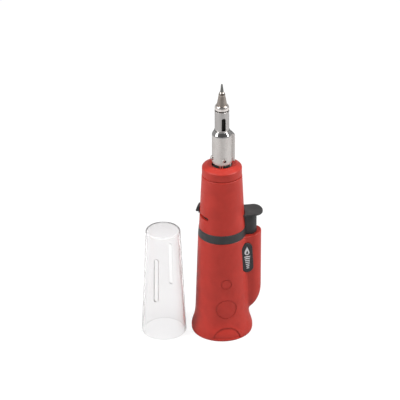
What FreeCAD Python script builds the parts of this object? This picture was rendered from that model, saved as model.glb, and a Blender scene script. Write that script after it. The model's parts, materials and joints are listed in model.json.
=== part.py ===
import FreeCAD, Part
import math
import os

# Pocket butane torch with a soldering bit fitted, standing on its foot, and its clear cap beside it.
# Millimetres. The origin is the centre of the foot on the table, +Z runs up the tool's axis,
# +X points to the pod with the ignition button, and -Y is the front with the engraved circles.

X = FreeCAD.Vector(1, 0, 0)
Y = FreeCAD.Vector(0, 1, 0)
Z = FreeCAD.Vector(0, 0, 1)
ORIGIN = FreeCAD.Vector(0, 0, 0)

# Clearances
RUNNING = 0.05        # radial gap of a shaft in its guide
LOOSE = 0.2           # gap between mouldings

# Handle (lower shell)
FOOT_R = 25.0         # widest radius of the flared foot
FOOT_Z = 2.0          # height of that widest place
FOOT_REST_R = 24.7    # outer radius of the rim that stands on the table
FLARE_TOP_R = 21.6    # radius where the flare runs into the straight cone
FLARE_TOP_Z = 24.0
HANDLE_TOP_R = 19.3
HANDLE_TOP_Z = 87.5
SHELL_WALL = 2.2
MOUTH_R = 21.3        # opening that the base cap sits in
LEDGE_Z = 4.0         # ledge that the base cap rests against
LEDGE_R = 19.4

# Pod with the igniter, on the +X side of the handle
POD_X = 22.8          # centre of the pod's round outer end
POD_R = 9.3
POD_ROOT_X = 13.5     # the pod's straight inner edge, inside the handle
POD_TAPER = 5.0       # degrees that each flank turns in towards the outer end
POD_TURN_Z = 39.0     # below this the pod curves back into the handle
POD_BOTTOM_DEPTH = 23.5
POD_BOTTOM_POWER = 2.2     # 2 would be an ellipse; a little more is fuller at the corner
POD_RISE_X = 23.5     # the pod's top is level to about here, then rises outwards
POD_RISE = 2.1
POD_RISE_BEND = 8.0   # bend radius between the level and the rising part
POD_ROOF = 2.2
POD_EDGE_R = 1.0
CREASE_R = 3.4        # fillet between the pod and the handle

# Barrel (upper shell), the band under it and the nose ring on top
BARREL_LOW_Z = 94.5
BARREL_LOW_R = 18.5
BARREL_TOP_Z = 141.2
BARREL_TOP_R = 16.2
BARREL_WALL = 2.0
BAND_LOW_R = 19.35
BAND_TOP_R = 18.75
NOSE_R = 16.0
NOSE_SHOULDER_Z = 148.5
NOSE_TOP_Z = 150.8        # ridge round the top; the middle dips a little towards the hole
NOSE_HOLE_R = 8.1
NOSE_HOLE_Z = 150.4

# Gas control
SLOT_Z = 107.0
SLOT_HEIGHT = 3.0
SLOT_HALF_ANGLE = 42.5    # the slot spans this much each way of the -X side
LEVER_ANGLE = 160.5       # where the lever stands, from +X
LEVER_NECK = 2.6
LEVER_WIDTH = 4.0
SKIRT_R = 15.4            # outer radius of the skirt that closes the slot from inside
SKIRT_HALF_ANGLE = 82.0

# Ignition button and the igniter under it
BUTTON_TOP_Z = 107.0
BUTTON_LIP = 1.3
BUTTON_EDGE_R = 0.45
BUTTON_DISH = 0.3         # depth of the thumb's dish
BUTTON_HALF_WIDTH = 9.2
BUTTON_END_X = 33.2
BUTTON_END_DEPTH = 6.4
STEM_R = 5.7
STEM_X = 22.6
STEM_GAP = 0.4            # between the barrel and the face of the stem that follows it
STEM_LOW_Z = 82.0
PIEZO_X = 22.5
PIEZO_R = 5.2
PIEZO_LOW_Z = 45.0
PIEZO_TOP_Z = 72.0

# Fuel tank and valve
TANK_R = 15.6
TANK_WALL = 1.4
TANK_LOW_Z = 12.5
TANK_TOP_Z = 70.0
SPINDLE_R = 1.5
SPINDLE_TUBE_R = 1.05
FILLER_R = 1.6
FILLER_NECK_R = 1.4       # the stem above the valve body's mouth

# Burner
SLEEVE_R = 7.94
SLEEVE_WALL = 0.5
SLEEVE_LOW_Z = 152.6
SLEEVE_SHOULDER_Z = 176.8
SLEEVE_TOP_Z = 181.0
AIR_HOLE_R = 1.2
AIR_HOLE_Z = 157.0
AIR_HOLE_ANGLES = (-85.5, 94.5, 184.5)
AIR_RIM = 1.1             # how far the punched rims stand out
LEG_LOW_Z = 144.1         # the sleeve's legs end in the bush's groove
FIN_X = 10.4              # outermost face of the folded electrode channel
FIN_HALF_WIDTH = 1.4
FIN_WALL = 0.45
ELECTRODE_X = 6.3
ELECTRODE_R = 0.4

# Tip unit
TIP_R = 5.75
TIP_WALL = 0.45
TIP_TOP_Z = 198.1
WINDOW_WIDTH = 3.3
WINDOW_LOW_Z = 182.0
WINDOW_TOP_Z = 193.1
WINDOW_ANGLE = -85.5
COLLAR_LOW_Z = 198.9
COLLAR_TOP_Z = 202.7
BIT_SHANK_R = 4.15
BIT_TIP_Z = 220.8

# Clear cap, standing beside the torch
CAP_X = -47.4
CAP_Y = 4.2
CAP_BASE_R = 18.25
CAP_TOP_R = 14.0
CAP_HEIGHT = 93.4
CAP_WALL = 1.5
CAP_SLOT_ANGLE = 58.0
CAP_SLOT_LENGTH = 39.0
CAP_SLOT_WIDTH = 3.66
CAP_SLOT_Z = 53.5


# ---- drawing helpers ---------------------------------------------------------------------------

def rounded_edges(points, radii, closed):
    """Straight edges through the points, with each corner turned by an arc of its radius."""
    edges = []
    starts = []
    count = len(points)
    for index, point in enumerate(points):
        is_end = not closed and index in (0, count - 1)
        if radii[index] == 0 or is_end:
            starts.append((point, point))
            continue
        back = (points[index - 1] - point).normalize()
        ahead = (points[(index + 1) % count] - point).normalize()
        half = back.getAngle(ahead) / 2
        reach = radii[index] / math.tan(half)
        inward = (back + ahead).normalize()
        middle = point + inward * (radii[index] / math.sin(half) - radii[index])
        start = point + back * reach
        end = point + ahead * reach
        edges.append((index, Part.Arc(start, middle, end).toShape()))
        starts.append((start, end))
    last = count if closed else count - 1
    for index in range(last):
        leave = starts[index][1]
        arrive = starts[(index + 1) % count][0]
        if leave.distanceToPoint(arrive) > 1e-6:
            edges.append((index + 0.5, Part.makeLine(leave, arrive)))
    edges.sort(key=lambda item: item[0])
    return [edge for _, edge in edges]


def with_radii(corners, size):
    """Splits corners into positions and corner radii; a corner with no radius is sharp."""
    places = [corner[:size] for corner in corners]
    radii = [corner[size] if len(corner) > size else 0 for corner in corners]
    return places, radii


def turned(corners, x=0.0, y=0.0):
    """Solid of revolution about a vertical axis from (radius, z[, corner radius]) corners."""
    places, radii = with_radii(corners, 2)
    points = [FreeCAD.Vector(r, 0, z) for r, z in places]
    face = Part.Face(Part.Wire(rounded_edges(points, radii, True)))
    solid = face.revolve(ORIGIN, Z, 360)
    solid.translate(FreeCAD.Vector(x, y, 0))
    return solid


def plate(corners, low, high):
    """Flat plate between two heights from (x, y[, corner radius]) corners."""
    places, radii = with_radii(corners, 2)
    points = [FreeCAD.Vector(px, py, low) for px, py in places]
    face = Part.Face(Part.Wire(rounded_edges(points, radii, True)))
    return face.extrude(Z * (high - low))


def side_plate(corners, half_width):
    """Plate standing in the XZ plane from (x, z[, corner radius]) corners, centred on Y = 0."""
    places, radii = with_radii(corners, 2)
    points = [FreeCAD.Vector(px, -half_width, pz) for px, pz in places]
    face = Part.Face(Part.Wire(rounded_edges(points, radii, True)))
    return face.extrude(Y * (2 * half_width))


def rod(radius, low, high, x=0.0, y=0.0):
    return Part.makeCylinder(radius, high - low, FreeCAD.Vector(x, y, low), Z)


def tube(outer, inner, low, high, x=0.0, y=0.0):
    return rod(outer, low, high, x, y).cut(rod(inner, low - 1, high + 1, x, y))


def box(low, high):
    size = [b - a for a, b in zip(low, high)]
    return Part.makeBox(size[0], size[1], size[2], FreeCAD.Vector(*low))


def hexagon(corner_radius, low, high):
    turns = [math.radians(60 * step) for step in range(6)]
    corners = [(corner_radius * math.cos(t), corner_radius * math.sin(t)) for t in turns]
    return plate(corners, low, high)


def stadium(x_low, x_centre, radius, low, high):
    """Plate with a straight face at x_low and a half-round end about x_centre."""
    block = box((x_low, -radius, low), (x_centre, radius, high))
    round_end = rod(radius, low, high, x_centre)
    keep = box((x_low, -radius - 1, low), (x_centre + radius + 1, radius + 1, high))
    return block.fuse(round_end.common(keep)).removeSplitter()


def o_ring(mean_radius, section_radius, z):
    return Part.makeTorus(mean_radius, section_radius, FreeCAD.Vector(0, 0, z), Z)


def coil(mean_radius, wire_radius, low, high, turns, x=0.0):
    """Helical spring whose wire stays between the two heights."""
    rise = high - low - 2 * wire_radius
    steps = 16 * turns
    points = []
    for step in range(steps + 1):
        turn = 2 * math.pi * turns * step / steps
        across = FreeCAD.Vector(math.cos(turn), math.sin(turn), 0) * mean_radius
        points.append(across + Z * (rise * step / steps))
    helix = Part.BSplineCurve()
    helix.interpolate(points)
    along = FreeCAD.Vector(0, 2 * math.pi * mean_radius, rise / turns)
    section = Part.Wire(Part.makeCircle(wire_radius, points[0], along))
    spring = Part.Wire(helix.toShape()).makePipeShell([section], True, True)
    spring.translate(FreeCAD.Vector(x, 0, low + wire_radius))
    return spring


def wire_rod(places, radius, bend):
    """Round rod that follows the (x, y, z) places and turns each corner with the bend radius."""
    points = [FreeCAD.Vector(*place) for place in places]
    path = Part.Wire(rounded_edges(points, [bend] * len(points), False))
    section = Part.Wire(Part.makeCircle(radius, points[0], points[1] - points[0]))
    return path.makePipeShell([section], True, True)


def drilled(shape, radius, angle, z, depth_from, depth_to):
    """Cuts a radial hole into the shape, between two distances from the Z axis."""
    outward = FreeCAD.Vector(math.cos(math.radians(angle)), math.sin(math.radians(angle)), 0)
    start = outward * depth_from + Z * z
    return shape.cut(Part.makeCylinder(radius, depth_to - depth_from, start, outward))


def turn_about_z(shape, angle):
    copy = shape.copy()
    copy.rotate(ORIGIN, Z, angle)
    return copy


def one_solid(shape):
    """The single solid of a boolean result."""
    clean = shape.removeSplitter()
    if len(clean.Solids) != 1:
        raise ValueError(f"expected one solid, got {len(clean.Solids)}")
    return clean.Solids[0]


# ---- handle ------------------------------------------------------------------------------------

def handle_body(inset):
    """The handle's turned outside, drawn in by the inset on its radius."""
    cone_slope = FreeCAD.Vector(HANDLE_TOP_R - FLARE_TOP_R, 0, HANDLE_TOP_Z - FLARE_TOP_Z)
    rest = FreeCAD.Vector(FOOT_REST_R - inset, 0, 0)
    rim = FreeCAD.Vector(FOOT_R - 0.07 - inset, 0, 0.9)
    widest = FreeCAD.Vector(FOOT_R - inset, 0, FOOT_Z)
    flare_top = FreeCAD.Vector(FLARE_TOP_R - inset, 0, FLARE_TOP_Z)
    top = FreeCAD.Vector(HANDLE_TOP_R - inset, 0, HANDLE_TOP_Z)
    flare = Part.BSplineCurve()
    flare.interpolate(
        Points=[widest, FreeCAD.Vector(23.2 - inset, 0, 10.0), flare_top],
        InitialTangent=FreeCAD.Vector(0, 0, 8),
        FinalTangent=cone_slope * 0.22,
    )
    edges = [
        Part.makeLine(ORIGIN, rest),
        Part.Arc(rest, rim, widest).toShape(),
        flare.toShape(),
        Part.makeLine(flare_top, top),
        Part.makeLine(top, Z * HANDLE_TOP_Z),
        Part.makeLine(Z * HANDLE_TOP_Z, ORIGIN),
    ]
    return Part.Face(Part.Wire(edges)).revolve(ORIGIN, Z, 360)


def pod_section(z, inset):
    """Level outline of the pod: a round outer end and two flanks that run into the handle."""
    depth = max(0.0, (POD_TURN_Z - z) / POD_BOTTOM_DEPTH)
    share = (1 - depth ** POD_BOTTOM_POWER) ** (1 / POD_BOTTOM_POWER)
    outer_x = POD_ROOT_X + (POD_X + POD_R - POD_ROOT_X) * share - inset
    radius = POD_R * share - inset
    centre_x = outer_x - radius
    taper = math.radians(POD_TAPER)
    touch_x = centre_x + radius * math.sin(taper)
    touch_y = radius * math.cos(taper)
    root_x = min(POD_ROOT_X, centre_x - 1.0)
    root_y = touch_y + (touch_x - root_x) * math.tan(taper)
    corners = [
        FreeCAD.Vector(root_x, -root_y, z),
        FreeCAD.Vector(touch_x, -touch_y, z),
        FreeCAD.Vector(touch_x, touch_y, z),
        FreeCAD.Vector(root_x, root_y, z),
    ]
    round_end = Part.Arc(corners[1], FreeCAD.Vector(outer_x, 0, z), corners[2]).toShape()
    return Part.Wire([
        Part.makeLine(corners[0], corners[1]),
        round_end,
        Part.makeLine(corners[2], corners[3]),
        Part.makeLine(corners[3], corners[0]),
    ])


def pod_body(inset, top):
    """The pod as one smooth solid from its pointed bottom up to the given height."""
    steps = 7
    lowest = POD_TURN_Z - POD_BOTTOM_DEPTH * (0.93 if inset == 0 else 0.80)
    curve = [lowest + (POD_TURN_Z - lowest) * (1 - (1 - i / steps) ** 2) for i in range(steps)]
    bottom = Part.makeLoft([pod_section(z, inset) for z in curve + [POD_TURN_Z]], True, False)
    straight = Part.Face(pod_section(POD_TURN_Z, inset)).extrude(Z * (top - POD_TURN_Z))
    return bottom.fuse(straight)


def pod_cradle():
    """Two plates across the pod that hold the igniter; the lower one is its floor."""
    floor = box((17.25, -9, 43.0), (32, 9, PIEZO_LOW_Z))
    floor = floor.cut(rod(0.8, 42, 46, PIEZO_X))
    collar = box((17.25, -9, 66.0), (32, 9, 68.0))
    return floor.fuse(collar.cut(rod(PIEZO_R + RUNNING, 65, 69, PIEZO_X)))


def engraving(radius, z, width, depth):
    """Tool for a circle cut to an even depth into the front and the back of the handle."""
    reach = FOOT_R + 5
    core = handle_body(depth)
    rings = []
    for side in (-1, 1):
        disc = Part.makeCylinder(radius + width / 2, reach, FreeCAD.Vector(0, 0, z), Y * side)
        if width < radius:
            inner = Part.makeCylinder(radius - width / 2, reach, FreeCAD.Vector(0, 0, z), Y * side)
            disc = disc.cut(inner)
        rings.append(disc.cut(core))
    return rings[0].fuse(rings[1])


def foot_scoop():
    """Shallow arch pressed into the front and the back of the flare, above a thin rim."""
    arch_r = 11.6
    keep_rim = box((-40, -40, -1), (40, 40, 1.6))
    core = handle_body(0.7)
    scoops = []
    for side in (-1, 1):
        disc = Part.makeCylinder(arch_r, FOOT_R + 5, ORIGIN, Y * side)
        scoops.append(disc.cut(core).cut(keep_rim))
    return scoops[0].fuse(scoops[1])


def badge_plate(low, high, grow):
    """Stadium plate on the pod's front flank, between two depths along the flank's normal."""
    half_length = 13.5 + grow
    half_width = 4.8 + grow
    corners = [
        (-half_width, -half_length, half_width - 0.01),
        (half_width, -half_length, half_width - 0.01),
        (half_width, half_length, half_width - 0.01),
        (-half_width, half_length, half_width - 0.01),
    ]
    badge = plate(corners, low, high)
    if grow == 0:
        badge = badge.makeFillet(0.3, [edge for edge in badge.Edges if edge.BoundBox.ZMin > high - 0.01])
    taper = math.radians(POD_TAPER)
    centre_x = 18.8
    touch_x = POD_X + POD_R * math.sin(taper)
    flank_y = POD_R * math.cos(taper) + (touch_x - centre_x) * math.tan(taper)
    badge.rotate(ORIGIN, Z, 3.4)
    badge.rotate(ORIGIN, X, 90)
    badge.rotate(ORIGIN, Z, POD_TAPER)
    badge.translate(FreeCAD.Vector(centre_x, -flank_y, 68.5))
    return badge


def screw_places():
    """Places of the base cap's screws."""
    circle_r = 17.4
    turns = [math.radians(angle) for angle in (90, 210, 330)]
    return [(circle_r * math.cos(t), circle_r * math.sin(t)) for t in turns]


def handle_hollow():
    """Everything inside the handle: the mouth, the tank space and the pod's chamber."""
    cone_top_r = HANDLE_TOP_R - SHELL_WALL
    bore = turned([
        (0, -1), (MOUTH_R, -1), (MOUTH_R, LEDGE_Z), (LEDGE_R, LEDGE_Z),
        (LEDGE_R, FLARE_TOP_Z), (cone_top_r, HANDLE_TOP_Z + 1), (0, HANDLE_TOP_Z + 1),
    ])
    for x, y in screw_places():
        boss = rod(2.6, LEDGE_Z, 11.5, x, y)
        bore = bore.cut(boss.cut(rod(1.02, 3, 10.5, x, y)))
    chamber = pod_body(SHELL_WALL, HANDLE_TOP_Z - POD_ROOF).cut(pod_cradle())
    return bore.fuse(chamber)


def barrel_cone(gap):
    """The barrel's taper drawn out up and down as a solid cone, with a gap added to its radius."""
    low, high = 78.0, 120.0
    return turned([(0, low), (barrel_radius(low) + gap, low), (barrel_radius(high) + gap, high), (0, high)])


def stem_bar(radius, gap, low, high):
    """Bar with a round outer end; its inner face follows the barrel at the given gap."""
    return stadium(14.0, STEM_X, radius, low, high).cut(barrel_cone(gap))


def pod_top_cutter():
    """Everything above the pod's top, which is level by the handle and rises outwards."""
    outer_x = POD_X + POD_R
    slope = POD_RISE / (outer_x - POD_RISE_X)
    far_x = outer_x + 5
    return side_plate([(0, HANDLE_TOP_Z), (POD_RISE_X, HANDLE_TOP_Z, POD_RISE_BEND),
                       (far_x, HANDLE_TOP_Z + slope * (far_x - POD_RISE_X)), (far_x, 110), (0, 110)], 20)


def lower_shell():
    pod = pod_body(0, HANDLE_TOP_Z + POD_RISE + 1).cut(pod_top_cutter())
    outside = handle_body(0).fuse(pod).removeSplitter()
    outside = outside.makeFillet(CREASE_R, crease_edges(outside))
    outside = outside.makeFillet(POD_EDGE_R, pod_rim_edges(outside))
    shell = outside.cut(handle_hollow())
    shell = shell.cut(stem_bar(STEM_R + LOOSE, 0.1, HANDLE_TOP_Z - POD_ROOF - 1, HANDLE_TOP_Z + 5))
    shell = shell.cut(badge_plate(-1.0, 6.0, 0.1))
    for radius, z in ((4.1, 51.0), (8.2, 28.0)):
        shell = shell.cut(engraving(radius, z, 0.6, 0.5))
    return one_solid(shell.cut(foot_scoop()))


def crease_edges(solid):
    """The two long edges where the pod's flanks meet the handle."""
    found = []
    for edge in solid.Edges:
        centre = edge.CenterOfMass
        on_flank = abs(centre.y) > 3 and 12 < centre.x < 22
        if on_flank and edge.BoundBox.ZLength > 3:
            found.append(edge)
    return found


def pod_rim_edges(solid):
    """The chain of edges round the pod's top, from one flank to the other."""
    found = []
    for edge in solid.Edges:
        box_around = edge.BoundBox
        at_top = box_around.ZMin > HANDLE_TOP_Z - 0.01
        runs_across = box_around.XLength < 0.01
        if at_top and box_around.XMin > POD_ROOT_X + 2.5 and not runs_across:
            found.append(edge)
    return found


def base_cap():
    cup_r = 8.5
    cup_wall = 1.4
    cap = turned([
        (cup_r, 1.2), (MOUTH_R - 0.1, 1.2, 0.4), (MOUTH_R - 0.1, LEDGE_Z), (cup_r + cup_wall, LEDGE_Z),
        (cup_r + cup_wall, 8.0, 0.6), (3.2, 8.0), (3.2, 6.6), (cup_r, 6.6, 0.6),
    ])
    for x, y in screw_places():
        cap = cap.cut(rod(1.15, 1, 5, x, y))
        cap = cap.cut(rod(2.1, 1, 2.6, x, y))
    return one_solid(cap)


def base_screws():
    """Three pan-head screws with a cross recess."""
    screws = []
    for x, y in screw_places():
        screw = turned([(0, 1.4), (1.9, 1.4, 0.4), (1.9, 2.6), (1.0, 2.6), (1.0, 9.5, 0.3), (0, 9.5)], x, y)
        for half_x, half_y in ((1.1, 0.2), (0.2, 1.1)):
            screw = screw.cut(box((x - half_x, y - half_y, 1.0), (x + half_x, y + half_y, 2.1)))
        screws.append(one_solid(screw))
    return Part.makeCompound(screws)


# ---- chassis, barrel and nose ------------------------------------------------------------------

def chassis():
    """Black carrier: the visible band, a floor that holds the valve, and a spigot each way."""
    carrier = turned([
        (5.6, 87.0), (14.2, 87.0), (14.2, 81.0), (16.9, 81.0, 0.3), (16.9, HANDLE_TOP_Z),
        (BAND_LOW_R, HANDLE_TOP_Z, 0.25), (BAND_TOP_R, BARREL_LOW_Z, 0.25), (16.0, BARREL_LOW_Z),
        (16.0, 100.0, 0.3), (14.2, 100.0), (14.2, 89.5), (5.6, 89.5),
    ])
    carrier = carrier.cut(stem_bar(STEM_R + 0.5, 0.05, 80, 96))
    return one_solid(carrier.cut(rod(0.8, 80, 95, 13.0)))


def barrel_radius(z):
    share = (z - BARREL_LOW_Z) / (BARREL_TOP_Z - BARREL_LOW_Z)
    return BARREL_LOW_R + share * (BARREL_TOP_R - BARREL_LOW_R)


def sector(half_angle, reach, low, high):
    """Wedge of a disc centred on the +X direction, up to 90 degrees each way."""
    steps = 6
    turns = [math.radians(half_angle * (2 * i / steps - 1)) for i in range(steps + 1)]
    corners = [(0, 0)] + [(reach * math.cos(t), reach * math.sin(t)) for t in turns]
    return plate(corners, low, high)


def upper_shell():
    shell = turned([
        (BARREL_LOW_R - BARREL_WALL, BARREL_LOW_Z), (BARREL_LOW_R, BARREL_LOW_Z, 0.3),
        (BARREL_TOP_R, BARREL_TOP_Z, 0.6), (BARREL_TOP_R - BARREL_WALL, BARREL_TOP_Z),
    ])
    end_r = SLOT_HEIGHT / 2
    end_angle = SLOT_HALF_ANGLE - math.degrees(end_r / barrel_radius(SLOT_Z))
    reach = BARREL_LOW_R + 5
    slot = sector(end_angle, reach, SLOT_Z - end_r, SLOT_Z + end_r)
    for side in (-1, 1):
        end = Part.makeCylinder(end_r, reach, FreeCAD.Vector(0, 0, SLOT_Z), X)
        slot = slot.fuse(turn_about_z(end, side * end_angle))
    return one_solid(shell.cut(turn_about_z(slot, 180)))


def nose_ring():
    spigot_r = BARREL_TOP_R - BARREL_WALL - 0.1
    bore_r = 12.6
    return turned([
        (bore_r, 134.0), (spigot_r, 134.0, 0.3), (spigot_r, BARREL_TOP_Z), (NOSE_R - 0.7, BARREL_TOP_Z),
        (NOSE_R - 0.7, BARREL_TOP_Z + 0.4), (NOSE_R, BARREL_TOP_Z + 0.9, 0.3), (NOSE_R, NOSE_SHOULDER_Z, 1.4),
        (NOSE_HOLE_R + 3.2, NOSE_TOP_Z, 2.4), (NOSE_HOLE_R, NOSE_HOLE_Z, 0.3), (NOSE_HOLE_R, 145.0),
        (bore_r, 145.0),
    ])


def insulator_bush():
    """Black bush in the nose: it carries the jet holder, the electrode and the sleeve's legs."""
    groove_low = LEG_LOW_Z - 0.2
    groove_r = SLEEVE_R + 0.08
    plug_r = SLEEVE_R - SLEEVE_WALL - 0.08
    bush = turned([
        (4.25, 141.0), (12.4, 141.0, 0.3), (12.4, 145.0), (groove_r, 145.0), (groove_r, groove_low),
        (plug_r, groove_low), (plug_r, 148.6, 0.3), (5.6, 148.6), (5.6, 150.0, 0.3), (4.25, 150.0),
    ])
    return one_solid(bush.cut(rod(1.25, 140, 151, ELECTRODE_X)))


def bush_circlip():
    """Open retaining ring under the bush, sprung into the nose ring."""
    clip = tube(12.55, 10.9, 139.8, 140.95)
    gap = box((-14, -2.2, 139), (-5, 2.2, 142))
    return one_solid(clip.cut(gap))


# ---- burner ------------------------------------------------------------------------------------

def electrode_channel(inset):
    """Folded channel on the sleeve's +X side, outside or, with an inset, inside."""
    top = 1.5 if inset else 0.0
    half = FIN_HALF_WIDTH - inset
    outer_x = FIN_X - inset
    corner = 0.8 if not inset else 0.4
    fin = plate([(6.5, -half), (outer_x, -half, corner), (outer_x, half, corner), (6.5, half)],
                153.0 - top, SLEEVE_TOP_Z + top)
    slope = side_plate([(6.3, SLEEVE_TOP_Z - 0.6 + top), (12.0, SLEEVE_TOP_Z - 7.0 + top),
                        (12.0, 190.0), (4.0, 190.0), (4.0, SLEEVE_TOP_Z - 0.6 + top)], 5.0)
    return fin.cut(slope)


def channel_grooves():
    """Tool for the two narrow grooves where the folded channel leaves the sleeve."""
    grooves = [rod(0.3, SLEEVE_LOW_Z + 0.5, SLEEVE_SHOULDER_Z, 8.0, side * 1.55) for side in (-1, 1)]
    return grooves[0].fuse(grooves[1])


def air_hole_rim():
    """Raised lip on the +X side, where an air hole is punched outwards through the sleeve."""
    lip_r = AIR_HOLE_R + 0.6
    out = SLEEVE_R + AIR_RIM
    profile = [(0, SLEEVE_R - 0.4), (lip_r, SLEEVE_R - 0.4), (lip_r, out, 0.4), (0, out)]
    lip = turned(profile)
    lip.rotate(ORIGIN, Y, 90)
    lip.translate(Z * AIR_HOLE_Z)
    return lip


def burner_sleeve():
    inner = SLEEVE_R - SLEEVE_WALL
    neck_r = TIP_R + RUNNING
    sleeve = turned([
        (inner, SLEEVE_LOW_Z), (SLEEVE_R, SLEEVE_LOW_Z, 0.15), (SLEEVE_R, SLEEVE_SHOULDER_Z + 0.9, 1.3),
        (neck_r + 0.5, SLEEVE_TOP_Z - 0.6, 0.6), (neck_r + 0.5, SLEEVE_TOP_Z, 0.15), (neck_r, SLEEVE_TOP_Z),
        (neck_r, SLEEVE_TOP_Z - 1.2), (inner, SLEEVE_SHOULDER_Z - 0.2, 0.8),
    ])
    bore = rod(inner, SLEEVE_LOW_Z - 1, SLEEVE_SHOULDER_Z - 1)
    neck_bore = rod(neck_r, SLEEVE_LOW_Z, SLEEVE_TOP_Z + 5)
    fin = electrode_channel(0).cut(bore).cut(neck_bore)
    sleeve = sleeve.fuse(fin)
    channel = electrode_channel(FIN_WALL)
    sleeve = sleeve.cut(channel.common(box((6.6, -3, 150), (12, 3, SLEEVE_TOP_Z - 1.5))))
    sleeve = sleeve.cut(channel_grooves())
    for angle in AIR_HOLE_ANGLES:
        sleeve = sleeve.fuse(turn_about_z(air_hole_rim(), angle))
        sleeve = drilled(sleeve, AIR_HOLE_R, angle, AIR_HOLE_Z, 5, 10)
    for angle in (-110, -97, 28, 152):
        leg = box((inner, -0.45, LEG_LOW_Z), (SLEEVE_R, 0.45, SLEEVE_LOW_Z + 0.5))
        leg = leg.common(tube(SLEEVE_R, inner, LEG_LOW_Z - 1, 153))
        sleeve = sleeve.fuse(turn_about_z(leg, angle))
    return one_solid(sleeve)


def jet_holder():
    holder = turned([(1.25, 138.0), (4.2, 138.0, 0.4), (4.2, 150.2), (1.6, 150.2), (1.6, 146.0),
                     (0.7, 146.0), (0.7, 142.0), (1.25, 142.0)])
    flats = box((-6, -6, 137), (6, 6, 140.5)).cut(hexagon(4.2, 136, 141))
    return one_solid(holder.cut(flats))


def jet_nozzle():
    return turned([(0.15, 146.0), (1.55, 146.0), (1.55, 151.0), (1.0, 151.6), (0.15, 151.6)])


def mixing_tube():
    """Thin tube over the jet where gas and air mix, with its own ring of air holes."""
    mixer = turned([(1.7, 150.2), (4.2, 150.2), (4.2, 151.2), (3.4, 151.2, 0.3), (3.4, 170.0),
                    (2.9, 170.0), (2.9, 151.9), (1.7, 151.9)])
    for angle in (45, 135, 225, 315):
        mixer = drilled(mixer, 0.8, angle, 154.0, 2, 5)
    return one_solid(mixer)


def flame_gauze():
    """Perforated disc that holds the flame at the mixing tube's mouth."""
    disc = rod(2.85, 168.0, 169.2)
    for radius, count in ((1.0, 5), (2.1, 10)):
        for step in range(count):
            turn = 2 * math.pi * step / count
            disc = disc.cut(rod(0.3, 167, 170, radius * math.cos(turn), radius * math.sin(turn)))
    return one_solid(disc)


def electrode_rod():
    return wire_rod([(ELECTRODE_X, 0, 131.0), (ELECTRODE_X, 0, 151.4), (8.8, 0, 154.6),
                     (8.8, 0, 171.0), (6.9, 0, 173.2)], ELECTRODE_R, 1.2)


def electrode_insulator():
    return tube(1.2, ELECTRODE_R + RUNNING, 133.0, 150.6, ELECTRODE_X)


def ignition_lead():
    """Lead from the igniter's foot up past the tank and through the chassis to the electrode."""
    lead = wire_rod([(PIEZO_X, 0, 46.4), (PIEZO_X, 0, 40.8), (16.55, 0, 40.8), (16.55, 0, 75.5),
                     (13.0, 0, 79.5), (13.0, 0, 122.0), (ELECTRODE_X, 0, 127.0), (ELECTRODE_X, 0, 130.9)],
                    0.55, 1.5)
    return one_solid(lead)


# ---- tip unit ----------------------------------------------------------------------------------

def tip_body():
    inner = TIP_R - TIP_WALL
    body = turned([(inner, 171.0), (TIP_R, 171.0, 0.15), (TIP_R, TIP_TOP_Z, 0.15), (inner, TIP_TOP_Z)])
    half = WINDOW_WIDTH / 2
    window = box((2, -half, WINDOW_LOW_Z), (9, half, WINDOW_TOP_Z - half))
    arch = Part.makeCylinder(half, 7, FreeCAD.Vector(2, 0, WINDOW_TOP_Z - half), X)
    return one_solid(body.cut(turn_about_z(window.fuse(arch), WINDOW_ANGLE)))


def tip_collar():
    """Polished collar pressed into the tube, with a groove between the two."""
    spigot_r = TIP_R - TIP_WALL - RUNNING
    hole_r = BIT_SHANK_R + RUNNING
    groove_r = 4.9
    return turned([(hole_r, 194.6), (spigot_r, 194.6), (spigot_r, 197.7), (groove_r, 197.7),
                   (groove_r, COLLAR_LOW_Z), (5.72, COLLAR_LOW_Z, 0.3), (5.72, 201.2, 2.0),
                   (4.95, COLLAR_TOP_Z, 0.6), (hole_r, COLLAR_TOP_Z)])


def soldering_bit():
    """Copper-cored bit: a shank in the catalyst, a flange under the collar and the plated taper."""
    return turned([
        (0, 176.0), (3.2, 176.0, 0.4), (3.2, 193.2), (4.95, 193.2), (4.95, 194.5), (BIT_SHANK_R, 194.5),
        (BIT_SHANK_R, COLLAR_TOP_Z), (2.7, 210.8), (2.7, 211.6, 0.4), (2.1, 213.2, 0.9), (1.42, 214.0, 0.3),
        (0.62, BIT_TIP_Z - 0.35, 0.25), (0, BIT_TIP_Z),
    ])


def catalyst():
    """Ribbed gauze sleeve around the shank of the bit."""
    outline = [(3.25, 177.0), (4.3, 177.0)]
    for step in range(16):
        low = 177.0 + step
        outline.append((4.3, low + 0.6))
        outline.append((4.1, low + 0.7))
        outline.append((4.1, low + 0.9))
        outline.append((4.3, low + 1.0))
    outline.append((3.25, 193.0))
    return turned(outline)


# ---- tank and filler valve ---------------------------------------------------------------------

def fuel_tank():
    inner = TANK_R - TANK_WALL
    return turned([(4.0, TANK_LOW_Z), (TANK_R, TANK_LOW_Z, 2.0), (TANK_R, TANK_TOP_Z), (inner, TANK_TOP_Z),
                   (inner, TANK_LOW_Z + 2.0, 1.5), (4.0, TANK_LOW_Z + 2.0)])


def tank_head():
    spigot_r = TANK_R - TANK_WALL - 0.1
    return turned([(2.0, 64.0), (spigot_r, 64.0), (spigot_r, 66.0), (12.9, 66.0), (12.9, 67.8),
                   (spigot_r, 67.8), (spigot_r, TANK_TOP_Z), (TANK_R, TANK_TOP_Z), (TANK_R, 73.0, 0.5),
                   (7.0, 73.0), (7.0, 80.0), (4.8, 80.0), (4.8, 67.0), (2.0, 67.0)])


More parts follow.
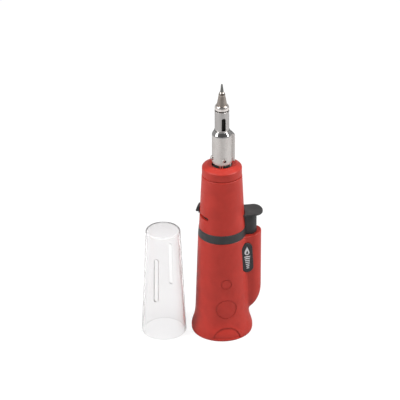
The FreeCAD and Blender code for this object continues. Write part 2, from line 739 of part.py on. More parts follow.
def filler_valve_body():
    guide_r = FILLER_NECK_R + RUNNING
    return turned([(1.9, 8.5), (6.0, 8.5, 0.3), (6.0, 11.9), (3.95, 11.9), (3.95, 22.0, 0.4), (0.8, 22.0),
                   (0.8, 20.0), (2.8, 20.0), (2.8, 11.0), (guide_r, 11.0), (guide_r, 10.4), (1.9, 10.4)])


def filler_stem():
    """Hollow stem: a refill nozzle fits over its lower end and pushes it up 2 mm."""
    stem = turned([(0.5, 2.4), (FILLER_R, 2.4), (FILLER_R, 8.2), (FILLER_NECK_R, 8.2),
                   (FILLER_NECK_R, 12.2), (2.4, 12.2), (2.4, 13.6), (0, 13.6), (0, 12.0), (0.5, 12.0)])
    return one_solid(drilled(stem, 0.35, 90, 10.8, 0, 3))


# ---- gas valve ---------------------------------------------------------------------------------

def valve_body():
    """Brass body screwed into the tank head, with a hexagon under the chassis floor."""
    body = turned([(0.8, 69.1), (4.75, 69.1, 0.4), (4.75, 80.0), (6.0, 80.0), (6.0, 87.0), (5.45, 87.0),
                   (5.45, 98.0), (4.4, 98.0), (4.4, 93.0), (3.2, 93.0), (3.2, 78.0), (0.8, 78.0)])
    nut = hexagon(8.0, 84.0, 87.0).cut(rod(5.9, 83, 88))
    return one_solid(body.fuse(nut))


def valve_nut():
    return one_solid(hexagon(8.0, 89.5, 92.5).cut(rod(5.5, 89, 93)))


def gland_nut():
    """Guides the spindle, holds its seal and carries the control lever on its journal."""
    nut = turned([(1.55, 93.0), (4.35, 93.0), (4.35, 98.0), (6.0, 98.0), (6.0, 101.0), (4.0, 101.0),
                  (4.0, 104.5, 0.3), (1.55, 104.5), (1.55, 97.2), (2.75, 97.2), (2.75, 95.6), (1.55, 95.6)])
    flats = tube(9, 5.6, 98, 101).cut(hexagon(6.4, 97, 102))
    return one_solid(nut.cut(flats))


def flats_cut(radius, half_flat, low, high):
    """Round bar with two flats facing the front and the back."""
    bar = rod(radius, low, high)
    return bar.common(box((-5, -half_flat, low - 1), (5, half_flat, high + 1)))


def valve_spindle():
    """Hollow spindle: it lifts off its seat as the control lever turns it."""
    lower = turned([(0, 79.2), (2.6, 79.2), (2.6, 81.5), (3.05, 81.5), (3.05, 82.3), (SPINDLE_R, 82.3),
                    (SPINDLE_R, 104.0), (0, 104.0)])
    spindle = lower.fuse(flats_cut(SPINDLE_R, 1.05, 104.0, 110.2))
    spindle = spindle.fuse(rod(SPINDLE_TUBE_R, 110.2, 119.0))
    spindle = spindle.cut(rod(0.5, 84.0, 120.0))
    return one_solid(drilled(spindle, 0.4, 90, 84.8, 0, 3))


def control_lever():
    """Lever tab outside the slot, its neck, the skirt that closes the slot, and the hub."""
    hub = turned([(4.06, 101.7), (7.0, 101.7, 0.4), (7.0, 110.0, 0.4), (0, 110.0), (0, 105.0), (4.06, 105.0)])
    web = sector(SKIRT_HALF_ANGLE, 30, 106.0, 108.0).common(tube(SKIRT_R - 1.0, 6.5, 105, 109))
    skirt = sector(SKIRT_HALF_ANGLE, 30, 103.2, 110.8).common(tube(SKIRT_R, SKIRT_R - 1.5, 103, 111))
    neck_low = SLOT_Z - LEVER_NECK / 2
    neck = box((14.5, -LEVER_WIDTH / 2, neck_low), (18.8, LEVER_WIDTH / 2, neck_low + LEVER_NECK))
    tab = side_plate([(18.3, 107.4), (20.8, 107.4, 0.3), (20.8, 108.8, 0.5), (19.2, 112.3, 0.4),
                      (18.3, 112.3)], 3.0)
    lever = hub.fuse(web).fuse(skirt).fuse(neck).fuse(tab)
    keyway = flats_cut(SPINDLE_R + RUNNING, 1.05 + RUNNING, 104, 111)
    return one_solid(turn_about_z(lever, LEVER_ANGLE).cut(keyway))


def gas_union():
    """Socket on the gas tube that the spindle's top slides in."""
    return turned([(1.12, 112.4), (4.0, 112.4, 0.3), (4.0, 124.0, 0.3), (1.25, 124.0), (1.25, 121.0),
                   (1.12, 121.0), (1.12, 115.2), (2.2, 115.2), (2.2, 114.0), (1.12, 114.0)])


# ---- igniter -----------------------------------------------------------------------------------

def ignition_button():
    """Thumb pad on a hollow stem, with a flange that keeps the stem in the pod."""
    pad_low = BUTTON_TOP_Z - BUTTON_LIP
    straight_x = BUTTON_END_X - BUTTON_END_DEPTH
    slab = box((14, -BUTTON_HALF_WIDTH, pad_low), (straight_x, BUTTON_HALF_WIDTH, BUTTON_TOP_Z))
    ellipse = Part.Ellipse(FreeCAD.Vector(straight_x, 0, pad_low), BUTTON_HALF_WIDTH, BUTTON_END_DEPTH)
    end_face = Part.Face(Part.Wire(ellipse.toShape()))
    end_face.rotate(FreeCAD.Vector(straight_x, 0, pad_low), Z, 90)
    pad = slab.fuse(end_face.extrude(Z * BUTTON_LIP)).removeSplitter()
    pad = pad.cut(barrel_cone(STEM_GAP))
    level_edges = [edge for edge in pad.Edges if edge.BoundBox.ZLength < 0.01]
    pad = pad.makeFillet(BUTTON_EDGE_R, level_edges)
    dish_r = 60.0
    dish = Part.makeSphere(dish_r, FreeCAD.Vector(25.9, 0, BUTTON_TOP_Z + dish_r - BUTTON_DISH))
    pad = pad.cut(dish)
    wall = 1.4
    stem = stem_bar(STEM_R, STEM_GAP, STEM_LOW_Z, pad_low + 0.5)
    hollow = stem_bar(STEM_R - wall, STEM_GAP + wall, STEM_LOW_Z + 2.4, pad_low - 0.4)
    hollow = hollow.cut(box((15, -0.6, 80), (30, 0.6, 110)))
    flange = stadium(18.2, STEM_X, STEM_R + 0.9, STEM_LOW_Z, STEM_LOW_Z + 1.6)
    flange = flange.cut(rod(1.0, 80, 85, 16.0))
    return one_solid(pad.fuse(stem).fuse(flange).cut(hollow))


def piezo_case():
    return turned([(0.8, PIEZO_LOW_Z), (PIEZO_R, PIEZO_LOW_Z, 0.4), (PIEZO_R, PIEZO_TOP_Z, 0.3),
                   (3.7, PIEZO_TOP_Z), (3.7, 54.0), (2.6, 54.0), (2.6, 47.0), (0.8, 47.0)], PIEZO_X)


def piezo_plunger():
    """Sliding inner case under the button's stem; the hammer runs in its bore."""
    return turned([(2.5, 60.5), (3.6, 60.5, 0.2), (3.6, 80.0), (5.0, 80.0), (5.0, STEM_LOW_Z, 0.3),
                   (0, STEM_LOW_Z), (0, 79.2), (2.5, 79.2)], PIEZO_X)


def piezo_hammer():
    return turned([(0, 60.0), (1.4, 60.0), (2.4, 61.0), (2.4, 67.0, 0.3), (0, 67.0)], PIEZO_X)


# ---- clear cap ---------------------------------------------------------------------------------

def clear_cap():
    inner_top_z = CAP_HEIGHT - CAP_WALL
    inner_top_r = CAP_TOP_R - CAP_WALL
    cap = turned([(CAP_BASE_R - CAP_WALL, 0, 0.5), (CAP_BASE_R, 0, 0.7), (CAP_TOP_R, CAP_HEIGHT, 2.2),
                  (0, CAP_HEIGHT), (0, inner_top_z), (inner_top_r, inner_top_z, 1.2)])
    end_r = CAP_SLOT_WIDTH / 2
    half_run = CAP_SLOT_LENGTH / 2 - end_r
    slot = box((-30, -end_r, CAP_SLOT_Z - half_run), (30, end_r, CAP_SLOT_Z + half_run))
    for z in (CAP_SLOT_Z - half_run, CAP_SLOT_Z + half_run):
        slot = slot.fuse(Part.makeCylinder(end_r, 60, FreeCAD.Vector(-30, 0, z), X))
    cap = one_solid(cap.cut(turn_about_z(slot, CAP_SLOT_ANGLE)))
    cap.translate(FreeCAD.Vector(CAP_X, CAP_Y, 0))
    return cap


# ---- every piece -------------------------------------------------------------------------------

def all_pieces():
    return {
        "lower_shell": lower_shell(),
        "base_cap": base_cap(),
        "base_screws": base_screws(),
        "badge": badge_plate(-0.95, 1.0, 0),
        "chassis": chassis(),
        "upper_shell": upper_shell(),
        "nose_ring": nose_ring(),
        "insulator_bush": insulator_bush(),
        "bush_circlip": bush_circlip(),
        "burner_sleeve": burner_sleeve(),
        "jet_holder": jet_holder(),
        "jet_nozzle": jet_nozzle(),
        "mixing_tube": mixing_tube(),
        "flame_gauze": flame_gauze(),
        "electrode_rod": electrode_rod(),
        "electrode_insulator": electrode_insulator(),
        "ignition_lead": ignition_lead(),
        "tip_body": tip_body(),
        "tip_collar": tip_collar(),
        "soldering_bit": soldering_bit(),
        "catalyst": catalyst(),
        "fuel_tank": fuel_tank(),
        "tank_head": tank_head(),
        "tank_seal": o_ring(13.55, 0.6, 66.9),
        "gas_filter": rod(4.6, 67.05, 69.0),
        "feed_wick": rod(1.9, 22.5, 66.9),
        "filler_valve_body": filler_valve_body(),
        "filler_gasket": tube(6.0, 4.05, 11.92, 12.48),
        "filler_seal": o_ring(2.03, 0.57, 11.6),
        "filler_spring": coil(2.0, 0.3, 13.7, 19.9, 5),
        "filler_stem": filler_stem(),
        "valve_body": valve_body(),
        "valve_nut": valve_nut(),
        "gland_nut": gland_nut(),
        "gland_seal": o_ring(2.14, 0.58, 96.4),
        "valve_spring": coil(2.4, 0.3, 82.4, 92.9, 7),
        "valve_spindle": valve_spindle(),
        "valve_seat_pad": rod(2.4, 78.23, 79.2),
        "control_lever": control_lever(),
        "gas_union": gas_union(),
        "union_seal": o_ring(1.64, 0.54, 114.6),
        "gas_tube": tube(1.2, 0.7, 121.0, 142.0),
        "ignition_button": ignition_button(),
        "piezo_case": piezo_case(),
        "piezo_crystal": rod(2.5, 48.0, 52.0, PIEZO_X),
        "piezo_anvil": turned([(0, 52.0), (2.5, 52.0), (2.5, 53.6), (1.6, 54.5), (0, 54.5)], PIEZO_X),
        "piezo_terminal": rod(2.5, 47.0, 48.0, PIEZO_X),
        "piezo_hammer": piezo_hammer(),
        "piezo_plunger": piezo_plunger(),
        "hammer_spring": coil(2.0, 0.3, 67.1, 79.1, 8, PIEZO_X),
        "return_spring": coil(4.3, 0.4, PIEZO_TOP_Z + 0.1, 79.9, 3, PIEZO_X),
        "clear_cap": clear_cap(),
    }


os.makedirs("parts", exist_ok=True)
for node, shape in all_pieces().items():
    if not shape.isValid():
        raise ValueError(f"{node} is not a valid shape")
    shape.exportStep(f"parts/{node}.step")
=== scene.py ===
import json
import math

import bpy
import numpy as np
from mathutils import Matrix, Vector


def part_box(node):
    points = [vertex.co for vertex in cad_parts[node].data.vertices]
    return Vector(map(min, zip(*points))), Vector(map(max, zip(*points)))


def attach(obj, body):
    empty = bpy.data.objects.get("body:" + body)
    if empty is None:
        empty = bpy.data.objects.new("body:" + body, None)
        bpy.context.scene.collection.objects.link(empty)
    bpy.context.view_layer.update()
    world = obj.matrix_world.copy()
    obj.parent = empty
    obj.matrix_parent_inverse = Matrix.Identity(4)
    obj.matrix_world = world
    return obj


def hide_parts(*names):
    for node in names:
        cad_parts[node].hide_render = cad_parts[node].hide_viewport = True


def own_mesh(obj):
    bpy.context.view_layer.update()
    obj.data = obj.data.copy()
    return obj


# Studio picture of a pocket butane torch with a soldering bit fitted and its clear cap beside it.
# Metres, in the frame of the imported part: +Z up the torch's axis, -Y to the front.

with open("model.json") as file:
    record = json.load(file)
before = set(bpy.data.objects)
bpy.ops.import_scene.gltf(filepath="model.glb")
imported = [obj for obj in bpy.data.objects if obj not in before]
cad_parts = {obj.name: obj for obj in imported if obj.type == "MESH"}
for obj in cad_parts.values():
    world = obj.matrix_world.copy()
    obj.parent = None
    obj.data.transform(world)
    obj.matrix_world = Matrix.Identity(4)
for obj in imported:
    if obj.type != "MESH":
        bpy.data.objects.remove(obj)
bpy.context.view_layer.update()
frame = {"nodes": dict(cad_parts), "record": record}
nodes = frame["nodes"]

MM = 0.001

# Sockets of a Mix node in its two uses, by index because their names repeat
MIX_COLOURS, MIX_COLOUR_RESULT = (6, 7), 2
MIX_NUMBERS, MIX_NUMBER_RESULT = (2, 3), 0

# Camera: turned about the torch and pitched down like a seated viewer with a long lens
CAMERA_TURN = math.radians(-9.5)
CAMERA_PITCH = math.radians(28.5)
CAMERA_ROLL = math.radians(-0.3)
CAMERA_DISTANCE = 1.977        # along the line of sight, to the level of the torch's foot
CAMERA_ASIDE = -0.0181         # how far the line of sight passes beside the foot
CAMERA_ABOVE = 0.1035          # and above it
LENS_MM = 216.0
SENSOR_MM = 36.0


# ---- node materials ----------------------------------------------------------------------------

def feed(tree, socket, value):
    """Links an input to another node's output, or sets it to a plain value or colour."""
    if isinstance(value, bpy.types.NodeSocket):
        tree.links.new(value, socket)
    elif socket.type == "RGBA" and len(value) == 3:
        socket.default_value = (*value, 1.0)
    else:
        socket.default_value = value


def add_node(tree, kind, inputs=None, **settings):
    """Adds a shader node with its settings, and feeds its inputs by name or index."""
    node = tree.nodes.new("ShaderNode" + kind)
    for key, value in settings.items():
        setattr(node, key, value)
    for key, value in (inputs or {}).items():
        feed(tree, node.inputs[key], value)
    return node


class Shader:
    """A node material under construction. Its textures read the part's own place in metres."""

    def __init__(self, name):
        self.material = bpy.data.materials.new(name)
        self.material.use_nodes = True
        self.tree = self.material.node_tree
        self.tree.nodes.clear()
        self.surface = self.add("BsdfPrincipled")
        self.add("OutputMaterial", {"Surface": self.surface.outputs[0]})
        self.place = self.add("TexCoord").outputs["Object"]

    def add(self, kind, inputs=None, **settings):
        return add_node(self.tree, kind, inputs, **settings)

    def set(self, name, value):
        """Sets or links one input of the Principled surface."""
        feed(self.tree, self.surface.inputs[name], value)

    def current(self, name):
        """The socket that already feeds one input of the surface, to build on."""
        return self.surface.inputs[name].links[0].from_socket

    def stretched(self, x, y, z):
        """The place with each axis scaled, so that a texture on it is drawn out along the small ones."""
        return self.add("VectorMath", {0: self.place, 1: (x, y, z)}, operation="MULTIPLY").outputs[0]

    def height(self):
        return self.add("SeparateXYZ", {0: self.place}).outputs["Z"]

    def noise(self, size, detail=2.0, place=None):
        """Soft noise from 0 to 1 with features of about the given size."""
        inputs = {"Vector": place or self.place, "Scale": 1 / size, "Detail": detail}
        return self.add("TexNoise", inputs).outputs["Fac"]

    def pores(self, size):
        """0 at the middle of scattered cells of the given size, rising outwards."""
        return self.add("TexVoronoi", {"Vector": self.place, "Scale": 1 / size}).outputs["Distance"]

    def span(self, value, low, high, to_low, to_high):
        """Maps low..high to to_low..to_high and holds the ends."""
        inputs = {0: value, 1: low, 2: high, 3: to_low, 4: to_high}
        return self.add("MapRange", inputs).outputs[0]

    def between(self, low, high, blend):
        """1 for heights from low to high and 0 outside, with soft ends inside the range."""
        z = self.height()
        rise = self.span(z, low, low + blend, 0.0, 1.0)
        fall = self.span(z, high - blend, high, 1.0, 0.0)
        return self.product(rise, fall)

    def calculated(self, operation, first, second=0.0):
        return self.add("Math", {0: first, 1: second}, operation=operation).outputs[0]

    def total(self, first, second):
        return self.calculated("ADD", first, second)

    def product(self, first, second):
        return self.calculated("MULTIPLY", first, second)

    def mixed(self, share, first, second):
        """Colour that goes from the first to the second as share goes from 0 to 1."""
        inputs = {0: share, MIX_COLOURS[0]: first, MIX_COLOURS[1]: second}
        return self.add("Mix", inputs, data_type="RGBA").outputs[MIX_COLOUR_RESULT]

    def bump(self, height, depth, under=None):
        """Normal of a surface raised by height, from 0 to 1, times depth in metres."""
        inputs = {"Height": height, "Distance": depth, "Strength": 1.0}
        if under is not None:
            inputs["Normal"] = under
        return self.add("Bump", inputs).outputs[0]

    def edges(self, radius):
        """1 on edges sharper than the radius and 0 on smooth faces."""
        rounded = self.add("Bevel", {"Radius": radius}, samples=6).outputs[0]
        flat = self.add("NewGeometry").outputs["Normal"]
        same = self.add("VectorMath", {0: rounded, 1: flat}, operation="DOT_PRODUCT").outputs["Value"]
        return self.span(same, 0.90, 0.995, 1.0, 0.0)


def moulded_plastic(name, deep, light, worn, roughness, grain_size, grain_depth):
    """Injection-moulded plastic: a spark-eroded grain, faint clouding and rubbed edges."""
    s = Shader(name)
    clouds = s.noise(9 * MM, 3.0)
    grain = s.noise(grain_size, 2.0)
    pits = s.pores(grain_size * 2.2)
    rubbed = s.noise(2.5 * MM, 4.0)
    clouded = s.mixed(s.span(clouds, 0.35, 0.65, 0.0, 1.0), deep, light)
    wear = s.product(s.edges(0.5 * MM), s.span(rubbed, 0.4, 0.7, 0.1, 0.6))
    s.set("Base Color", s.mixed(wear, clouded, worn))
    grainy = s.span(grain, 0.3, 0.7, roughness - 0.03, roughness + 0.03)
    s.set("Roughness", s.total(s.span(rubbed, 0.3, 0.7, -0.04, 0.04), grainy))
    relief = s.bump(pits, grain_depth * 0.6)
    s.set("Normal", s.bump(grain, grain_depth, relief))
    return s


def red_soft_touch():
    """Soft-touch red coating with a duller sheen than bare plastic."""
    s = moulded_plastic("red_soft_touch", (0.41, 0.024, 0.014), (0.46, 0.028, 0.017), (0.55, 0.07, 0.05),
                        0.46, 0.28 * MM, 0.010 * MM)
    s.set("Specular IOR Level", 0.38)
    return s


def black_plastic():
    """Black moulding with a painted sheen, partly a dusty film, that lightens the faces that look up."""
    s = moulded_plastic("black_plastic", (0.018, 0.018, 0.019), (0.025, 0.025, 0.026),
                        (0.07, 0.07, 0.07), 0.48, 0.22 * MM, 0.012 * MM)
    facing = s.add("NewGeometry").outputs["Normal"]
    up = s.add("SeparateXYZ", {0: facing}).outputs["Z"]
    # Painted sheen: faces that look up are made lighter, as if lit from above, with patches like a dusty
    # film.
    sheen_and_dust_patches = s.span(s.noise(6 * MM, 4.0), 0.3, 0.7, 0.75, 1.0)
    dust_and_sheen = s.product(s.span(up, 0.6, 0.95, 0.0, 1.0), sheen_and_dust_patches)
    s.set("Base Color", s.mixed(dust_and_sheen, s.current("Base Color"), (0.055, 0.055, 0.055)))
    return s


def badge_black():
    return moulded_plastic("badge_black", (0.011, 0.011, 0.013), (0.016, 0.016, 0.019),
                           (0.07, 0.07, 0.08), 0.30, 0.35 * MM, 0.004 * MM)


def badge_ink():
    """Light grey pad print: slightly uneven cover, matt."""
    s = Shader("badge_ink")
    cover = s.noise(0.4 * MM, 4.0)
    s.set("Base Color", s.mixed(s.span(cover, 0.35, 0.6, 0.0, 1.0), (0.55, 0.55, 0.57), (0.82, 0.82, 0.83)))
    s.set("Roughness", s.span(cover, 0.3, 0.7, 0.5, 0.65))
    s.set("Normal", s.bump(s.noise(0.15 * MM, 2.0), 0.006 * MM))
    return s


def turned_metal(name, colour, tarnish, roughness, lines_depth):
    """Lathe-turned metal: fine rings round the axis, a mottled film and blurred streaks."""
    s = Shader(name)
    s.set("Metallic", 1.0)
    rings = s.noise(0.12 * MM, 3.0, s.stretched(0.04, 0.04, 1.0))
    mottle = s.noise(3.0 * MM, 4.0, s.stretched(1.0, 1.0, 0.35))
    smear = s.noise(3.5 * MM, 3.0, s.stretched(1.0, 1.0, 0.25))
    s.set("Base Color", s.mixed(s.span(mottle, 0.35, 0.7, 0.0, 0.6), colour, tarnish))
    ringed = s.span(rings, 0.3, 0.7, roughness - 0.05, roughness + 0.05)
    s.set("Roughness", s.total(ringed, s.span(smear, 0.3, 0.7, -0.05, 0.06)))
    s.set("Normal", s.bump(rings, lines_depth))
    s.set("Anisotropic", 0.4)
    s.set("Tangent", s.add("Tangent", direction_type="RADIAL", axis="Z").outputs[0])
    return s


def stainless():
    """Satin sleeve and tip tube. The formed shoulder between them is polished, with its colour darkened as
    painted shade to dim the lights mirrored in it, and the groove under the collar has painted shade.
    """
    s = turned_metal("stainless", (0.62, 0.59, 0.57), (0.54, 0.50, 0.48), 0.30, 0.0010 * MM)
    shoulder_low, shoulder_high = 176.6 * MM, 181.4 * MM
    groove_low, groove_high = 198.0 * MM, 199.0 * MM
    collar_high = 203.0 * MM
    shoulder = s.between(shoulder_low, shoulder_high, 0.4 * MM)
    collar = s.between(groove_high, collar_high, 0.2 * MM)
    polish = s.total(s.product(shoulder, -0.18), s.product(collar, -0.10))
    s.set("Roughness", s.total(s.current("Roughness"), polish))
    # Painted shade: the shoulder's colour is darkened to dim the lights mirrored in it.
    shoulder_painted_dark = s.mixed(shoulder, s.current("Base Color"), (0.38, 0.37, 0.365))
    tube = s.mixed(s.between(shoulder_high, groove_low, 0.4 * MM), shoulder_painted_dark, (0.47, 0.45, 0.44))
    # Painted shade: the groove between the tube and the collar is coloured near black, where shadow falls
    # inside it.
    groove_painted_shade = s.mixed(s.between(groove_low, groove_high, 0.1 * MM), tube, (0.06, 0.055, 0.05))
    s.set("Base Color", s.mixed(collar, groove_painted_shade, (0.76, 0.71, 0.68)))
    return s


def plated_bit():
    """Iron-plated taper, polished where it steps in and tinned grey on its point."""
    s = turned_metal("plated_bit", (0.42, 0.37, 0.33), (0.35, 0.30, 0.27), 0.34, 0.0015 * MM)
    step_low, step_high = 210.9 * MM, 213.8 * MM
    point_low, above_point = 213.6 * MM, 230.0 * MM
    polished = s.between(step_low, step_high, 0.3 * MM)
    tinned = s.between(point_low, above_point, 0.4 * MM)
    s.set("Roughness", s.total(s.current("Roughness"), s.product(polished, -0.20)))
    s.set("Base Color", s.mixed(tinned, s.current("Base Color"), (0.21, 0.21, 0.20)))
    return s


def spring_steel():
    return turned_metal("spring_steel", (0.50, 0.50, 0.51), (0.38, 0.37, 0.37), 0.28, 0.0008 * MM)


def brass():
    return turned_metal("brass", (0.78, 0.54, 0.22), (0.60, 0.38, 0.15), 0.27, 0.0010 * MM)


def rough_solid(name, dark, light, roughness, size, depth):
    """Plain porous or fibrous matter: mottled colour with a matching relief."""
    s = Shader(name)
    grain = s.noise(size, 5.0)
    s.set("Base Color", s.mixed(s.span(grain, 0.35, 0.65, 0.0, 1.0), dark, light))
    s.set("Roughness", s.span(grain, 0.3, 0.7, roughness - 0.06, roughness + 0.06))
    s.set("Normal", s.bump(grain, depth))
    return s


def white_ceramic():
    return rough_solid("white_ceramic", (0.70, 0.68, 0.63), (0.82, 0.80, 0.76), 0.42, 0.5 * MM, 0.004 * MM)


def dark_catalyst():
    return rough_solid("dark_catalyst",
                       (0.008, 0.007, 0.006), (0.030, 0.026, 0.022), 0.8, 0.25 * MM, 0.05 * MM)


def tank_plastic():
    s = rough_solid("tank_plastic", (0.55, 0.54, 0.50), (0.66, 0.65, 0.61), 0.35, 4 * MM, 0.01 * MM)
    s.set("Subsurface Weight", 0.2)
    s.set("Subsurface Radius", (0.002, 0.002, 0.002))
    return s


def igniter_plastic():
    return rough_solid("igniter_plastic",
                       (0.045, 0.048, 0.055), (0.065, 0.068, 0.075), 0.4, 1.5 * MM, 0.006 * MM)


def seal_rubber():
    return rough_solid("seal_rubber",
                       (0.012, 0.012, 0.012), (0.022, 0.022, 0.022), 0.6, 0.3 * MM, 0.006 * MM)


def lead_rubber():
    return rough_solid("lead_rubber",
                       (0.015, 0.015, 0.017), (0.028, 0.028, 0.030), 0.5, 0.6 * MM, 0.006 * MM)


def wick_felt():
    return rough_solid("wick_felt", (0.60, 0.58, 0.52), (0.78, 0.76, 0.70), 0.95, 0.2 * MM, 0.06 * MM)


def clear_plastic():
    """Clear polystyrene with a faint haze, hairline scratches, flow marks and a scuffed closed end."""
    s = Shader("clear_plastic")
    s.set("IOR", 1.30)
    s.set("Base Color", (0.965, 0.96, 0.963))
    s.set("Transmission Weight", 0.91)
    flow = s.noise(14 * MM, 2.0, s.stretched(1.0, 1.0, 0.35))
    hairlines = s.noise(0.10 * MM, 2.0, s.stretched(1.0, 1.0, 0.03))
    end_low, above_end = 91.2 * MM, 95.0 * MM
    scuffed_end = s.between(end_low, above_end, 0.8 * MM)
    scratched = s.span(hairlines, 0.3, 0.8, 0.05, 0.08)
    s.set("Roughness", s.total(scratched, s.product(scuffed_end, 0.22)))
    eased_edges = s.add("Bevel", {"Radius": 0.6 * MM}, samples=8).outputs[0]
    s.set("Normal", s.bump(flow, 0.01 * MM, eased_edges))
    return s


FINISHES = [
    red_soft_touch, black_plastic, badge_black, stainless, plated_bit, spring_steel, brass, white_ceramic,
    dark_catalyst, tank_plastic, igniter_plastic, seal_rubber, lead_rubber, wick_felt, clear_plastic,
]


def dress_cad_nodes():
    """Gives every CAD node the finish of its material slot."""
    finishes = {finish.__name__: finish().material for finish in FINISHES}
    for part in frame["record"]["subparts"]:
        nodes[part["node"]].material_slots[0].material = finishes[part["material_slot"]]


# ---- badge print -------------------------------------------------------------------------------

PRINT_RAISE = 0.05 * MM
PRINT_SINK = 0.05 * MM
SCALE_BARS = 7
SCALE_GAP = 1.6 * MM          # from the flame's foot down to the first bar
SCALE_PITCH = 1.75 * MM
SCALE_TOP_REACH = 2.5 * MM    # half length of the first bar
SCALE_SHRINK = 0.22 * MM      # and what each lower bar loses of it
SCALE_BAR_HALF = 0.42 * MM    # half height of a bar


def plate_axes(name):
    """Matrix of a flat plate's outer face: X across it, Y up its length and Z out to the front."""
    points = np.array([vertex.co for vertex in nodes[name].data.vertices])
    centre = (points.min(0) + points.max(0)) / 2
    axes = np.linalg.svd(points - points.mean(0), full_matrices=False)[2]
    along = Vector(axes[0])
    outward = Vector(axes[2])
    along *= math.copysign(1, along.z)
    outward *= -math.copysign(1, outward.y)
    across = along.cross(outward)
    face = max(outward.dot(Vector(point) - Vector(centre)) for point in points)
    matrix = Matrix((across, along, outward)).transposed().to_4x4()
    matrix.translation = Vector(centre) + outward * face
    return matrix


def pill(x, y, half_length, half_width):
    """Outline of a bar across the badge with round ends."""
    steps = 8
    points = []
    for end in (1, -1):
        for step in range(steps + 1):
            turn = math.pi * (step / steps - 0.5)
            reach = half_length - half_width + half_width * math.cos(turn)
            points.append((x + end * reach, y + end * half_width * math.sin(turn)))
    return points


def teardrop(x, y, half_width, height, lean):
    """Outline of a flame: round below and drawn to a leaning point above."""
    steps = 36
    points = []
    for step in range(steps):
        turn = 2 * math.pi * (step + 0.5) / steps
        rise = (1 + math.cos(turn)) / 2
        side = math.sin(turn) * math.sin(turn / 2) ** 1.6
        points.append((x - 1.3 * half_width * side + lean * rise ** 3, y + height * rise))
    return points


def extruded(outlines, low, high):
    """Vertices and faces of closed prisms; a second outline inside the first one is its hole."""
    vertices, faces = [], []
    for outer, inner in outlines:
        loops = []
        for outline, level in ((outer, high), (outer, low), (inner, high), (inner, low)):
            if outline is None:
                continue
            start = len(vertices)
            vertices += [(px, py, level) for px, py in outline]
            loops.append(range(start, start + len(outline)))
        count = len(outer)
        rims = [(loops[0], loops[1])]
        if inner is None:
            faces.append(list(loops[0]))
            faces.append(list(reversed(loops[1])))
        else:
            rims += [(loops[3], loops[2]), (loops[2], loops[0]), (loops[1], loops[3])]
        for upper, lower in rims:
            for i in range(count):
                j = (i + 1) % count
                faces.append([upper[j], upper[i], lower[i], lower[j]])
    return vertices, faces


def make_piece(name, vertices, faces, matrix, material, body):
    """A closed mesh piece placed in the row frame that rides on a CAD body."""
    mesh = bpy.data.meshes.new(name)
    mesh.from_pydata(vertices, [], faces)
    mesh.validate()
    mesh.transform(matrix)
    mesh.materials.append(material)
    piece = bpy.data.objects.new(name, mesh)
    bpy.context.scene.collection.objects.link(piece)
    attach(piece, body)
    return piece


def badge_print():
    """Generic marking: a flame above a scale whose bars grow towards it."""
    low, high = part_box("badge")
    flame_y = 0.10 * (high - low).z
    outlines = [(teardrop(0, flame_y, 2.3 * MM, 7.6 * MM, 0.5 * MM),
                 teardrop(0.1 * MM, flame_y + 0.7 * MM, 1.0 * MM, 3.6 * MM, 0.3 * MM))]
    for step in range(SCALE_BARS):
        y = flame_y - SCALE_GAP - step * SCALE_PITCH
        outlines.append((pill(0, y, SCALE_TOP_REACH - step * SCALE_SHRINK, SCALE_BAR_HALF), None))
    vertices, faces = extruded(outlines, -PRINT_SINK, PRINT_RAISE)
    ink = badge_ink().material
    make_piece("badge_print", vertices, faces, plate_axes("badge"), ink, "root")


# ---- springs -----------------------------------------------------------------------------------

# Each coil spring: the body it rides on, the slide that presses it, and whether its upper end is held
PRESSED_SPRINGS = {
    "return_spring": ("root", "button_press", False),
    "hammer_spring": ("button", "button_press", True),
    "filler_spring": ("root", "filler_push", True),
    "valve_spring": ("root", "spindle_lift", True),
}


def springs():
    """Coil springs copied from their CAD nodes onto the bodies they ride on, with the CAD nodes hidden."""
    for name, (body, slide, held_above) in PRESSED_SPRINGS.items():
        coil = bpy.data.objects.new(name + "_coil", nodes[name].data.copy())
        bpy.context.scene.collection.objects.link(coil)
        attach(coil, body)
        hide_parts(name)
        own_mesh(coil)


# ---- studio ------------------------------------------------------------------------------------

FLOOR_HALF = 4.0
FLOOR_TO_EYE = 0.90           # glow of the floor where the camera sees it
FLOOR_THROUGH_CAP = 0.83      # and where it is seen through the clear cap
FLOOR_MIRRORED = 0.2          # extra glow at its sides where metal mirrors it
MIRRORED_FROM, MIRRORED_TO = 0.06, 0.30    # distance aside over which that glow comes in
TENT_THROUGH_CAP = 0.93
TENT_BY_HEIGHT = (0.15, 0.90, 0.85, 0.06)  # upward share of the direction, then strength, low and high
TENT_BY_DEPTH = (-1.0, 0.2, 0.45, 1.0)     # the same from the viewer's side to the back
CROSSED_CAP = 0.5             # a ray's count of crossings is above this once it has entered the cap
SOFTBOX_WIDTH, SOFTBOX_HEIGHT = 0.34, 1.0
SOFTBOX_AIM = Vector((0, 0, 0.12))


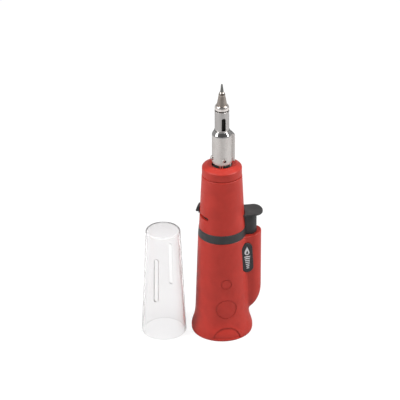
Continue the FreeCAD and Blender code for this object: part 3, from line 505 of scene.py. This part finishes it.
def floor():
    """Pale table that fills the view: near white to the eye, with glowing sides where metal mirrors it."""
    mesh = bpy.data.meshes.new("floor")
    corners = [(x * FLOOR_HALF, y * FLOOR_HALF, 0) for x, y in ((-1, -1), (1, -1), (1, 1), (-1, 1))]
    mesh.from_pydata(corners, [], [(0, 1, 2, 3)])
    s = Shader("floor_paper")
    path = s.add("LightPath")
    paper = s.mixed(s.noise(0.3, 3.0), (0.50, 0.50, 0.50), (0.53, 0.53, 0.53))
    crossed = s.calculated("GREATER_THAN", path.outputs["Transmission Depth"], CROSSED_CAP)
    seen = s.calculated("MAXIMUM", path.outputs["Is Camera Ray"], crossed)
    s.set("Base Color", s.mixed(seen, paper, (0.12, 0.12, 0.12)))
    s.set("Roughness", 0.9)
    s.set("Specular IOR Level", 0.1)
    s.set("Normal", s.bump(s.noise(0.8 * MM, 3.0), 0.01 * MM))
    to_eye = s.product(path.outputs["Is Camera Ray"], FLOOR_TO_EYE)
    through_cap = s.product(crossed, FLOOR_THROUGH_CAP)
    aside = s.calculated("ABSOLUTE", s.add("SeparateXYZ", {0: s.place}).outputs["X"])
    at_sides = s.span(aside, MIRRORED_FROM, MIRRORED_TO, 0.0, FLOOR_MIRRORED)
    mirrored = s.product(path.outputs["Is Glossy Ray"], at_sides)
    s.set("Emission Color", (1.0, 1.0, 1.0))
    glow = s.calculated("MAXIMUM", to_eye, through_cap)
    s.set("Emission Strength", s.calculated("MAXIMUM", glow, mirrored))
    mesh.materials.append(s.material)
    table = bpy.data.objects.new("floor", mesh)
    bpy.context.scene.collection.objects.link(table)


def tent():
    """Soft white surroundings: bright low down, greyer overhead and towards the viewer."""
    world = bpy.data.worlds.new("tent")
    world.use_nodes = True
    tree = world.node_tree
    tree.nodes.clear()
    direction = add_node(tree, "TexCoord").outputs["Generated"]
    split = add_node(tree, "SeparateXYZ", {0: direction})
    shades = []
    for axis, ramp in (("Z", TENT_BY_HEIGHT), ("Y", TENT_BY_DEPTH)):
        inputs = {0: split.outputs[axis], **dict(enumerate(ramp, start=1))}
        shades.append(add_node(tree, "MapRange", inputs).outputs[0])
    strength = add_node(tree, "Math", dict(enumerate(shades)), operation="MULTIPLY").outputs[0]
    crossings = add_node(tree, "LightPath").outputs["Transmission Depth"]
    crossed = add_node(tree, "Math", {0: crossings, 1: CROSSED_CAP}, operation="GREATER_THAN").outputs[0]
    plain, through_cap = MIX_NUMBERS
    seen = add_node(tree, "Mix", {0: crossed, plain: strength, through_cap: TENT_THROUGH_CAP})
    background = add_node(tree, "Background", {"Strength": seen.outputs[MIX_NUMBER_RESULT]})
    add_node(tree, "OutputWorld", {"Surface": background.outputs[0]})
    bpy.context.scene.world = world


def softbox(name, place, power):
    """Upright soft light aimed at the torch's middle."""
    light = bpy.data.lights.new(name, "AREA")
    light.shape = "RECTANGLE"
    light.size = SOFTBOX_WIDTH
    light.size_y = SOFTBOX_HEIGHT
    light.energy = power
    lamp = bpy.data.objects.new(name, light)
    lamp.location = place
    lamp.rotation_euler = (SOFTBOX_AIM - Vector(place)).to_track_quat("-Z", "Y").to_euler()
    bpy.context.scene.collection.objects.link(lamp)


def lights():
    softbox("softbox_left", (-0.88, -0.18, 1.03), 16.5)
    softbox("softbox_right", (0.84, -0.31, 1.03), 18.0)


def camera():
    """Long-lens camera placed by its turn, pitch and roll about the torch's foot."""
    a, e, roll = CAMERA_TURN, CAMERA_PITCH, CAMERA_ROLL
    back = Vector((math.sin(a) * math.cos(e), -math.cos(a) * math.cos(e), math.sin(e)))
    level_right = Vector((math.cos(a), math.sin(a), 0))
    level_up = back.cross(level_right)
    right = level_right * math.cos(roll) + level_up * math.sin(roll)
    up = level_up * math.cos(roll) - level_right * math.sin(roll)
    data = bpy.data.cameras.new("camera")
    data.lens = LENS_MM
    data.sensor_width = SENSOR_MM
    data.clip_end = 20.0
    eye = bpy.data.objects.new("camera", data)
    pose = Matrix((right, up, back)).transposed().to_4x4()
    pose.translation = back * CAMERA_DISTANCE + right * CAMERA_ASIDE + up * CAMERA_ABOVE
    eye.matrix_world = pose
    bpy.context.scene.collection.objects.link(eye)
    bpy.context.scene.camera = eye


dress_cad_nodes()
badge_print()
springs()
floor()
tent()
lights()
camera()
bpy.context.scene.view_settings.view_transform = "Standard"
